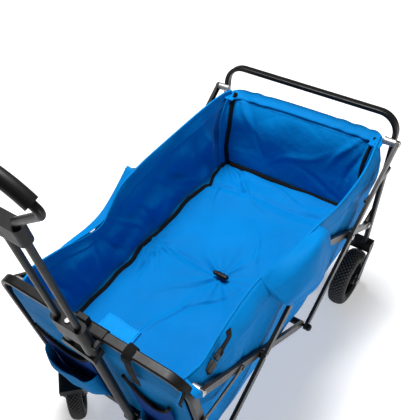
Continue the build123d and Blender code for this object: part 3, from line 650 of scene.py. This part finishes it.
def floor_folds(x, y):
    """The two folds across the floor: at the grip, where the floor folds up, and at the rear stiffener."""
    middle = x - GRIP_X - 0.012 * np.sin(y * 9) + 0.05 * np.abs(y - GRIP_Y) ** 1.5
    rear = x + 0.285 + 0.10 * y - 0.006 * np.sin(y * 24)
    middle_valley = 0.0055 * bump_at(middle, 0, 0.007) * np.exp(-((y / 0.20) ** 6))
    rear_valley = 0.0060 * bump_at(rear, 0, 0.008)
    return 0.0030 * bump_at(rear - 0.05 * y, 0.030, 0.010) - middle_valley - rear_valley


def edge_pulls(x, y, at_x, side, rays, phase, high, spread, core):
    """Creases that fan out from a point on the floor's side edge."""
    reach = np.sqrt((x - at_x) ** 2 + (y - side * FLOOR_HALF) ** 2)
    turn = np.arctan2(y * side - FLOOR_HALF, x - at_x)
    return high * np.sin(turn * rays + phase) * bump_at(reach, 0, spread) * np.minimum(1, reach / core)


def floor_height(x, y):
    """Height of the cloth laid over the floor's stiffeners, with its folds, pulls and creases."""
    high = FLOOR_Z + 0.0015 + ripples(x, y, 3, 0.0022, 0.22)
    high += pulls_round_grip(x, y) + floor_folds(x, y)
    high += 1.5 * pulled(x, y, FLOOR_CREASES, 0.0052)
    for side in (-1, 1):
        high += edge_pulls(x, y, FLOOR_REAR, side, rays=16, phase=0, high=0.0030, spread=0.14, core=0.03)
        high += edge_pulls(x, y, 0.03, side, rays=13, phase=1, high=0.0026, spread=0.10, core=0.02)
    return high


def make_floor():
    xs = np.linspace(FLOOR_FRONT, FLOOR_REAR, 190)
    ts = np.linspace(-1, 1, 110)
    x, t = np.meshgrid(xs, ts, indexing="ij")
    y = t * floor_edge(x)
    points = np.stack([x, y, floor_height(x, y)], axis=2)
    gather_floor(sheet("tub_floor", points, AZURE), "bag_floor")


make_floor()

# ------------------------------------------------------------------ tub: side walls
# rims from front to rear: the left one stands up, the right one sags ahead of the middle
LEFT_RIM = [
    (0.432, 0.211, 0.545), (0.398, 0.220, 0.550), (0.368, 0.221, 0.547), (0.276, 0.209, 0.541),
    (0.175, 0.206, 0.547), (0.090, 0.211, 0.537), (0.007, 0.228, 0.543), (-0.058, 0.236, 0.545),
    (-0.161, 0.234, 0.512), (-0.290, 0.232, 0.508), (-0.385, 0.219, 0.520), (-0.424, 0.2135, 0.524),
]
RIGHT_RIM = [
    (0.432, -0.211, 0.538), (0.398, -0.219, 0.538), (0.376, -0.226, 0.536), (0.289, -0.232, 0.507),
    (0.215, -0.233, 0.477), (0.149, -0.234, 0.463), (0.102, -0.236, 0.490), (0.054, -0.236, 0.521),
    (-0.020, -0.237, 0.528), (-0.091, -0.237, 0.528), (-0.286, -0.236, 0.522), (-0.380, -0.228, 0.521),
    (-0.412, -0.216, 0.521),
]
WALL_COLUMNS, WALL_ROWS = 200, 46
WALL_OUT = 0.2395                       # how far out the cloth bellies, just inside the arms
LOW_SAG = 0.026                         # how far a full wall hangs below the floor's edge
HEM_ROWS = 9                            # rows of the wall's grid that the hem covers


def wall_points(rim_keys, side, seed, fullness, creases):
    """Grid of a side wall, from its rim (first row) down to the floor's edge (last row).

    fullness is how far the cloth bellies towards the arms: 0 is taut and 1 reaches them.
    """
    rim = smooth_line(rim_keys, WALL_COLUMNS)
    share = np.linspace(0, 1, WALL_COLUMNS)
    foot_x = FLOOR_FRONT + 0.004 + (FLOOR_REAR - FLOOR_FRONT - 0.004) * share
    foot = line_of(foot_x, side * (floor_edge(foot_x) + 0.001), FLOOR_Z - 0.004)
    down = np.linspace(0, 1, WALL_ROWS)[:, None, None]
    points = rim[None] * (1 - down) + foot[None] * down
    down, x = down[:, :, 0], points[:, :, 0]
    reach = WALL_OUT - np.abs(points[:, :, 1])
    belly = fullness * reach * (1 - np.exp(-down * 9)) * np.sqrt(1 - down**12)
    points[:, :, 2] -= fullness * LOW_SAG * bump_at(down, 0.95, 0.06) * (1 - down**20)
    hold = np.sin(pi * np.clip(down * 1.02, 0, 1)) ** 0.7       # no folds at the rim and the floor's edge
    folds = ripples(x, points[:, :, 2], seed, 0.0050, 0.13, 9)
    folds += pulled(x, points[:, :, 2], creases, 0.008)
    folds += 0.0034 * np.sin(x * 46 + 2.2 * np.sin(down * 4 + seed)) * down
    ends = np.minimum(1, np.minimum(share, 1 - share) * 14)[None]
    points[:, :, 1] += side * (belly + folds * hold) * ends
    points[:, :, 1] = side * np.minimum(points[:, :, 1] * side, WALL_OUT + 0.003)
    return points


def hem_and_stitches(name, points, side):
    """Folded hem along a wall's rim: a doubled band, with its row of stitches, inside and outside."""
    rim = points[0] + np.array((0, 0, 0.001))
    gather(strip(f"{name}_rim_bead", rim, (0, 0, 1), 0.0052, 0.0045, AZURE))
    for face, word in ((1, "outer"), (-1, "inner")):
        shifted = points[:HEM_ROWS].copy()
        shifted[:, :, 1] += side * face * 0.0017
        shifted[0, :, 2] += 0.0006
        gather(sheet(f"{name}_hem_{word}", shifted, AZURE, 0.0011))
        row = shifted[HEM_ROWS - 2][3:-3]
        gather(stitches(f"{name}_stitches_{word}", row, (0, side * face, 0.15), 0.0009))


def make_walls():
    left = wall_points(LEFT_RIM, 1, 11, 1.0, LEFT_CREASES)
    right = wall_points(RIGHT_RIM, -1, 5, 0.3, RIGHT_CREASES)
    gather(sheet("tub_wall_left", left, AZURE), "bag_sides")
    gather(sheet("tub_wall_right", right, AZURE))
    hem_and_stitches("left", left, 1)
    hem_and_stitches("right", right, -1)


make_walls()


# ------------------------------------------------------------------ tub: rear wall and its hem
REAR_LOW_X, REAR_HIGH_X, REAR_HIGH_Z = FLOOR_REAR - 0.003, -0.430, 0.520
REAR_HALF, CORNER_R, RETURN = 0.213, 0.030, 0.040


def corner_track(half, radius, ahead, count):
    """Plan line of the rear wall: straight across, turning forwards round both corners."""
    keys = []
    for side in (-1, 1):
        arm = [(ahead, side * half), (radius + (ahead - radius) * 0.5, side * half)]
        for a in np.linspace(0, pi / 2, 8):
            arm.append((radius * (1 - sin(a)), side * (half - radius * (1 - cos(a)))))
        keys += arm if side < 0 else arm[::-1]
    keys = np.array(keys)
    run = run_along(keys)
    at = np.linspace(0, run[-1], count)
    return np.stack([np.interp(at, run, keys[:, 0]), np.interp(at, run, keys[:, 1])], axis=1)


def rear_x(up):
    """Plane of the rear wall at a share of its height: upright below, leaning out with the hoop on top."""
    return REAR_LOW_X + (REAR_HIGH_X - REAR_LOW_X) * (0.2 * up + 0.8 * up**6)


def rear_row(plan, up):
    """One level line of the rear wall, at a share of its height."""
    y = plan[:, 1]
    level = np.full(len(plan), FLOOR_Z - 0.004 + (REAR_HIGH_Z - FLOOR_Z + 0.004) * up)
    sag = 0.007 * bump_at(y, -0.19, 0.09) * up**3
    folds = ripples(y, level, 21, 0.0035, 0.17, 8) * sin(pi * up) ** 0.7
    folds = (folds + pulled(y, level, REAR_CREASES, 0.008)) * (np.abs(y) < REAR_HALF - 0.002)
    return line_of(rear_x(up) + plan[:, 0] + folds, y, level - sag)


def make_rear_wall():
    plan = corner_track(REAR_HALF, CORNER_R, RETURN, 150)
    points = np.array([rear_row(plan, up) for up in np.linspace(0, 1, 40)])
    join(sheet("tub_wall_rear", points, AZURE), "rear_frame", "bag_rear")
    rim = points[-1] + np.array((0.003, 0, -0.004))
    y = points[-1, :, 1]
    rim[:, 2] += 0.0016 * np.sin(y * 130) * bump_at(y, 0.13, 0.05)
    rim[:, 2] += 0.0020 * np.sin(y * 120) * bump_at(y, -0.15, 0.04)
    join(strip("rear_hem", rim, (0.45, 0, 1), 0.032, 0.005, AZURE), "rear_frame")
    row = points[-4, 12:-12] + np.array((0.001, 0, 0))
    join(stitches("rear_stitches", row, (1, 0, 0.2), 0.0008), "rear_frame")


make_rear_wall()


# ------------------------------------------------------------------ tub: front apron with pockets
def on_hoop(side_y, up, ahead=0.0):
    """Point in the front hoop's plane: across, up the post from its foot, and ahead of the plane."""
    x = FOOT_X + up * sin(LEAN) + ahead * cos(LEAN)
    z = FOOT_Z + up * cos(LEAN) - ahead * sin(LEAN)
    return np.stack(np.broadcast_arrays(x, side_y, z), axis=-1)


APRON_LOW, APRON_HIGH, APRON_HALF = 0.000, POST_LENGTH - 0.009, 0.2245
APRON_CORNER = 0.044                    # radius of the apron's upper corners


def make_apron():
    ups = np.linspace(APRON_HIGH, APRON_LOW, 70)
    ts = np.linspace(-1, 1, 90)
    up, t = np.meshgrid(ups, ts, indexing="ij")
    corner = np.clip((up - (APRON_HIGH - APRON_CORNER)) / APRON_CORNER, 0, 1)
    half = APRON_HALF - 0.042 * (1 - np.sqrt(1 - corner**2))
    y = t * half
    hold = np.clip((APRON_HIGH - up) / 0.05, 0, 1)
    ahead = ripples(y, up, 31, 0.0034, 0.18, 8) * hold * (1 - t**6) + 0.005 * hold
    join(sheet("tub_apron", on_hoop(y, up, ahead), TEAL), "front_frame", "bag_front")


make_apron()


def make_pocket(name, right, left, tops, mouth, low, deep, seed, replaced=None):
    """Pocket: a mesh lining whose bound top edge sags, behind a bellied front panel with a lower mouth.

    right and left are its sides, tops the heights of the lining at the right side, middle and left side.
    """
    v, t = np.meshgrid(np.linspace(0, 1, 40), np.linspace(-1, 1, 60), indexing="ij")
    arch = (1 - t**2) ** 0.8
    across = (right + left) / 2 + t * (left - right) / 2
    top = tops[0] + (tops[2] - tops[0]) * (t + 1) / 2 + (tops[1] - (tops[0] + tops[2]) / 2) * arch
    lining = on_hoop(across, top + (low - top) * v, 0.0135 - 0.002 * v)
    join(sheet(f"{name}_mesh", lining, NAVY, 0.0008), "front_frame")
    mouth_line = on_hoop(across[0], top[0], 0.0140)
    edge = strip(f"{name}_binding", mouth_line, (cos(LEAN), 0, 0.4), 0.007, 0.007, BINDING)
    join(edge, "front_frame")
    slack = 0.18 * (mouth - low) * arch
    up = mouth - slack + (low - mouth + slack) * v
    belly = deep * (1 - np.abs(t) ** 4) ** 0.5 * np.sin(pi * (0.28 + 0.72 * v)) ** 0.6
    wrinkles = ripples(across, up, seed, 0.0022, 0.07, 6) * np.clip((1 - v) * 4, 0, 1)
    panel = on_hoop(across, up, 0.0145 + belly + wrinkles * (1 - t**4))
    join(sheet(name, panel, TEAL), "front_frame", replaced)
    hem = sheet(f"{name}_hem", panel[:5] + np.array((0.0012, 0, 0.0006)), TEAL, 0.0012)
    join(hem, "front_frame")


make_pocket(
    "pocket_right",
    right=-0.205,
    left=-0.045,
    tops=(0.222, 0.150, 0.215),
    mouth=0.130,
    low=0.004,
    deep=0.036,
    seed=22,
    replaced="front_pockets",
)
make_pocket(
    "pocket_left",
    right=0.068,
    left=0.178,
    tops=(0.262, 0.165, 0.235),
    mouth=0.066,
    low=0.002,
    deep=0.024,
    seed=4,
)


# ------------------------------------------------------------------ bindings inside the tub
BINDING_WIDE, BINDING_THICK = 0.012, 0.0045
BINDING_Z = FLOOR_Z + 0.004             # height of the tape along the floor's ends


def bind(name, path, up, body=None):
    """Black tape sewn over a seam; without a body it rides the front frame, as the floor does."""
    made = strip(name, path, up, BINDING_WIDE, BINDING_THICK, BINDING)
    if body:
        join(made, body)
    else:
        gather_floor(made)


def bind_floor():
    xs = np.linspace(FLOOR_FRONT - 0.004, FLOOR_REAR + 0.003, 160)
    for side, word in ((1, "left"), (-1, "right")):
        y = side * (floor_edge(xs) - 0.004 + 0.0012 * np.sin(xs * 60 + side))
        bind(f"floor_binding_{word}", line_of(xs, y, floor_height(xs, y) + 0.003), (0, -side * 0.8, 1))
    ys = np.linspace(-FLOOR_HALF + 0.004, FLOOR_HALF - 0.004, 80)
    rear = line_of(REAR_LOW_X + 0.007 + 0.001 * np.sin(ys * 70), ys, BINDING_Z)
    bind("floor_binding_rear", rear, (1, 0, 1), "rear_frame")
    bind("floor_binding_front", line_of(FLOOR_FRONT - 0.004, ys, BINDING_Z), (-1, 0, 1))


def bind_corners():
    ups = np.linspace(0.0, 1.0, 50)
    for side, word in ((1, "left"), (-1, "right")):
        x = rear_x(ups) + 0.013 + 0.003 * np.sin(ups * 9 + side)
        y = side * (REAR_HALF - 0.013 + 0.002 * np.sin(ups * 7))
        z = BINDING_Z + (REAR_HIGH_Z - FLOOR_Z - 0.006) * ups
        bind(f"rear_corner_binding_{word}", line_of(x, y, z), (1, -side, 0), "rear_frame")
        z = BINDING_Z + (REAR_HIGH_Z - FLOOR_Z) * ups
        front = line_of(post_x(z) - 0.009, side * 0.2085, z)
        bind(f"front_corner_binding_{word}", front, (-1, -side, 0), "front_frame")


bind_floor()
bind_corners()


# ------------------------------------------------------------------ flaps over the upper middle joints
FLAP_COLUMNS, FLAP_ROWS = 34, 30


def make_flap(name, corners, seed, side):
    """Sewn flap hanging over an upper middle joint; corners are rows of points, from the rim down."""
    rows = [smooth_line(row, FLAP_COLUMNS) for row in corners]
    columns = [smooth_line([row[c] for row in rows], FLAP_ROWS) for c in range(FLAP_COLUMNS)]
    points = np.array(columns).transpose(1, 0, 2)
    share = np.linspace(0, 1, FLAP_COLUMNS)[None]
    down = np.linspace(0, 1, FLAP_ROWS)[:, None]
    hold = np.sin(pi * share) ** 0.5 * np.clip(down * 3, 0, 1)
    points[:, :, 1] += side * ripples(share * 0.1, down * 0.12, seed, 0.0016, 0.06, 5) * hold
    join(sheet(name, points, AZURE), "outer_front")
    for word, row in (("side", points[2:-2, 2]), ("low", points[-3, 2:-2]), ("rear", points[2:-2, -3])):
        thread = stitches(f"{name}_stitches_{word}", row, (0, side, 0), 0.0011)
        join(thread, "outer_front")


make_flap(
    "flap_left",
    [
        [(0.150, 0.207, 0.545), (0.030, 0.224, 0.546), (-0.050, 0.236, 0.548)],
        [(0.146, 0.241, 0.512), (0.020, 0.264, 0.553), (-0.054, 0.262, 0.529)],
        [(0.134, 0.263, 0.486), (0.030, 0.279, 0.503), (-0.058, 0.269, 0.455)],
        [(0.112, 0.2685, 0.462), (0.038, 0.278, 0.430), (-0.042, 0.269, 0.393)],
    ],
    4,
    1,
)
make_flap(
    "flap_right",
    [
        [(0.300, -0.230, 0.508), (0.130, -0.2345, 0.470), (0.000, -0.237, 0.528)],
        [(0.285, -0.240, 0.500), (0.115, -0.256, 0.474), (-0.002, -0.262, 0.530)],
        [(0.270, -0.242, 0.470), (0.098, -0.268, 0.458), (-0.008, -0.272, 0.500)],
        [(0.262, -0.243, 0.445), (0.096, -0.269, 0.440), (-0.012, -0.273, 0.460)],
    ],
    8,
    -1,
)


# ------------------------------------------------------------------ small sewn and moulded pieces
def make_floor_patch():
    """Light patch sewn to the floor behind the front rail."""
    low, high = box_of("floor_flap")
    xs = np.linspace(high[0], low[0], 26)
    ys = np.linspace(low[1], high[1], 40)
    x, y = np.meshgrid(xs, ys, indexing="ij")
    skew = (y - low[1]) * 0.04
    lift = 0.0035 + 0.0016 * np.sin(y * 70) * np.cos(x * 60)
    points = np.stack([x + skew, y, floor_height(x, y) + lift], axis=2)
    gather_floor(sheet("floor_patch", points, PALE, 0.002), "floor_flap")
    gather_floor(strip("floor_patch_cord", points[2:, -2], (0, 0, 1), 0.003, 0.0018, BINDING))
    for number, row in enumerate((points[2, 2:-2], points[-3, 2:-2], points[2:-2, 2], points[2:-2, -3])):
        gather_floor(stitches(f"floor_patch_stitches_{number}", row, (0, 0, 1), 0.0013))


make_floor_patch()


def make_floor_grip():
    """Moulded pull grip on the floor's centre crease."""
    rings, around = 26, 24
    long, wide, tall = 0.023, 0.0085, 0.0065
    verts = []
    for i in range(rings):
        t = -1 + 2 * i / (rings - 1)
        size = max(0.02, (1 - abs(t) ** 3.4)) ** 0.5
        waist = 1 - 0.16 * cos(t * pi * 2.0) ** 2
        for k in range(around):
            a = 2 * pi * k / around
            x = GRIP_X + wide * size * waist * cos(a)
            z = FLOOR_Z + 0.0105 + tall * size * waist * sin(a)
            verts.append((x, GRIP_Y + long * t, z))
    faces = grid_faces(rings, around, closed=True) + end_caps(rings, around)
    join(add_mesh("floor_pull_grip", verts, faces, PLASTIC), "floor_pull", "floor_grip")


make_floor_grip()


def make_rail_strap():
    """Black webbing looped over the front rail, its tail hanging down the apron."""
    low, high = box_of("rail_strap")
    y = (low[1] + high[1]) / 2
    half_wide, half_thin = 0.014 + 0.0016, 0.0075 + 0.0016      # the rail's section and the webbing over it
    keys = [(half_wide * sin(a), half_thin * cos(a)) for a in np.linspace(radians(-150), radians(90), 20)]
    keys += [(0.0175, -0.012), (0.0165, -0.030), (0.0185, -0.060), (0.0160, -0.090), (0.0175, -0.112)]
    track = smooth_line([(a, u, 0) for a, u in keys], 90)
    path = on_hoop(y + 0.003 * np.sin(np.linspace(0, 3, 90)), POST_LENGTH + track[:, 1], track[:, 0])
    up = path - on_hoop(y, POST_LENGTH, 0.0)
    up[track[:, 1] < -0.009] = (cos(LEAN), 0, -sin(LEAN))       # the tail faces straight ahead
    join(strip("rail_webbing", path, up, 0.022, 0.0022, BINDING), "front_frame", "rail_strap")


make_rail_strap()


def make_buckle():
    """Side-release buckle with webbing on the left front corner of the rim."""
    turn = Matrix.Translation((0.352, 0.233, 0.529))
    turn = turn @ Matrix.Rotation(radians(16), 4, "Y") @ Matrix.Rotation(radians(8), 4, "X")
    blocks = (
        ("buckle_socket", (0.026, 0.008, 0.022), 0.0022, (0.012, 0, 0), "corner_buckle"),
        ("buckle_plug", (0.012, 0.0065, 0.018), 0.002, (-0.010, 0, 0), None),
        ("buckle_side_0", (0.014, 0.006, 0.003), 0.001, (-0.020, 0, 0.0075), None),
        ("buckle_side_1", (0.014, 0.006, 0.003), 0.001, (-0.020, 0, -0.0075), None),
    )
    for name, size, bevel, at, replaced in blocks:
        block = box_mesh(name, size, PLASTIC, bevel, turn @ Matrix.Translation(at))
        join(block, "front_frame", replaced)
    front_keys = [(0.025, 0.0, 0.0), (0.040, -0.004, -0.004), (0.056, -0.010, -0.014)]
    tail_keys = [(-0.020, 0, 0), (-0.036, 0.002, 0.006), (-0.052, 0.006, 0.016), (-0.060, 0.004, 0.030)]
    for word, keys, count in (("front", front_keys, 14), ("tail", tail_keys, 18)):
        path = [turn @ Vector(k) for k in smooth_line(keys, count)]
        webbing = strip(f"buckle_webbing_{word}", path, (0, 1, 0.3), 0.016, 0.002, BINDING)
        join(webbing, "front_frame")


make_buckle()


def make_corner_ties():
    """Cloth tab round the top of the left front post, and a loose webbing end hanging inside it."""
    tab_keys = [(0.426, 0.216, 0.546), (0.434, 0.231, 0.556), (0.437, 0.2535, 0.554), (0.435, 0.2545, 0.538)]
    end_across, end_up = np.array((0.238, 0.232, 0.222, 0.216)), np.array((0.385, 0.360, 0.325, 0.296))
    end_keys = on_hoop(end_across, end_up, np.array((0.009, 0.014, 0.015, 0.012)))
    edge_keys = end_keys + np.array((0.0022, -0.004, 0))
    pieces = (
        ("corner_tab", tab_keys, (0.3, 0.2, 1), 0.016, 0.0022, AZURE, "blue_fabric"),
        ("corner_webbing_end", end_keys, (1, 0, 0), 0.010, 0.0030, BINDING, "webbing"),
        ("corner_webbing_edge", edge_keys, (1, 0, 0), 0.005, 0.0020, AZURE, "blue_fabric"),
    )
    for name, keys, up, wide, thick, look, slot in pieces:
        join(strip(name, smooth_line(keys, 24), up, wide, thick, look), "front_frame")


make_corner_ties()


# ------------------------------------------------------------------ stage, light and camera
PAPER_NEAR, PAPER_FAR = 1.3, 2.6        # where the paper starts to fade, and where it is all white
PAPER_GREY, PAPER_GLOW = 0.93, 0.36


def studio_paper():
    """White backdrop paper that glows a little; to the camera it fades to even white away from the cart."""
    g = Graph("studio_paper")
    reach = g.node("ShaderNodeVectorMath", {"operation": "LENGTH"}, Vector=g.place()).outputs["Value"]
    seen = g.node("ShaderNodeLightPath").outputs["Is Camera Ray"]
    away = g.math("MULTIPLY", reach, seen)
    return g.finish(
        Base_Color=g.ramp(away, PAPER_NEAR, PAPER_FAR, PAPER_GREY, 0.0),
        Roughness=0.95,
        Specular_IOR_Level=0.0,
        Emission_Color=rgb(1, 1, 1),
        Emission_Strength=g.ramp(away, PAPER_NEAR, PAPER_FAR, PAPER_GLOW, 1.0),
    )


FLOOR_REACH = 4.0
stage_corners = [(sx * FLOOR_REACH, sy * FLOOR_REACH, 0) for sx, sy in ((-1, -1), (1, -1), (1, 1), (-1, 1))]
add_mesh("studio_floor", stage_corners, [(0, 1, 2, 3)], studio_paper())


WORLD_LIGHT = 0.13                      # strength of the even light


def make_world():
    """White backdrop for the camera, and a weaker even light on everything else."""
    world = bpy.data.worlds.new("studio")
    bpy.context.scene.world = world
    world.use_nodes = True
    tree = world.node_tree
    backdrop = tree.nodes["Background"]
    backdrop.inputs["Color"].default_value = rgb(1.0, 1.0, 1.0)
    seen = tree.nodes.new("ShaderNodeLightPath").outputs["Is Camera Ray"]
    strength = tree.nodes.new("ShaderNodeMapRange")
    strength.inputs["To Min"].default_value = WORLD_LIGHT
    tree.links.new(seen, strength.inputs["Value"])
    tree.links.new(strength.outputs[0], backdrop.inputs["Strength"])


make_world()


def area_light(name, place, target, size, power):
    """Square light at a place, facing a target."""
    data = bpy.data.lights.new(name, "AREA")
    data.size = size
    data.energy = power
    made = bpy.data.objects.new(name, data)
    made.location = place
    made.rotation_euler = (Vector(target) - Vector(place)).to_track_quat("-Z", "Y").to_euler()
    bpy.context.scene.collection.objects.link(made)


area_light("overhead", (-0.45, -0.52, 3.1), (0, 0, 0.3), 1.1, 122)
area_light("side_fill", (0.9, 2.9, 0.85), (0, 0, 0.3), 1.6, 32)

CAMERA_AT = LINKAGE + Vector((0.8772, 0.6095, 1.5732))
AZIMUTH, ELEVATION, ROLL = radians(134.41), radians(47.59), radians(-9.0)
FRAME_PX, SENSOR = 420.0, 36.0          # width of the frame in pixels and of the sensor in millimetres
FOCAL_PX, CENTRE_X, CENTRE_Y = 637.15, 143.42, 247.89


def make_camera():
    """Camera whose lens axis is off the middle of the frame, as in a cropped photograph."""
    ahead = Vector((-cos(ELEVATION) * sin(AZIMUTH), cos(ELEVATION) * cos(AZIMUTH), -sin(ELEVATION)))
    right = ahead.cross(Vector((0, 0, 1))).normalized()
    up = right.cross(ahead)
    side = right * cos(ROLL) + up * sin(ROLL)
    top = -right * sin(ROLL) + up * cos(ROLL)
    data = bpy.data.cameras.new("photo_view")
    data.sensor_width = SENSOR
    data.lens = FOCAL_PX / FRAME_PX * SENSOR
    data.shift_x = (FRAME_PX / 2 - CENTRE_X) / FRAME_PX
    data.shift_y = (CENTRE_Y - FRAME_PX / 2) / FRAME_PX
    made = bpy.data.objects.new("photo_view", data)
    turn = Matrix((side, top, -ahead)).transposed().to_4x4()
    made.matrix_world = Matrix.Translation(CAMERA_AT) @ turn
    bpy.context.scene.collection.objects.link(made)
    bpy.context.scene.camera = made


make_camera()
bpy.context.scene.view_settings.view_transform = "Standard"
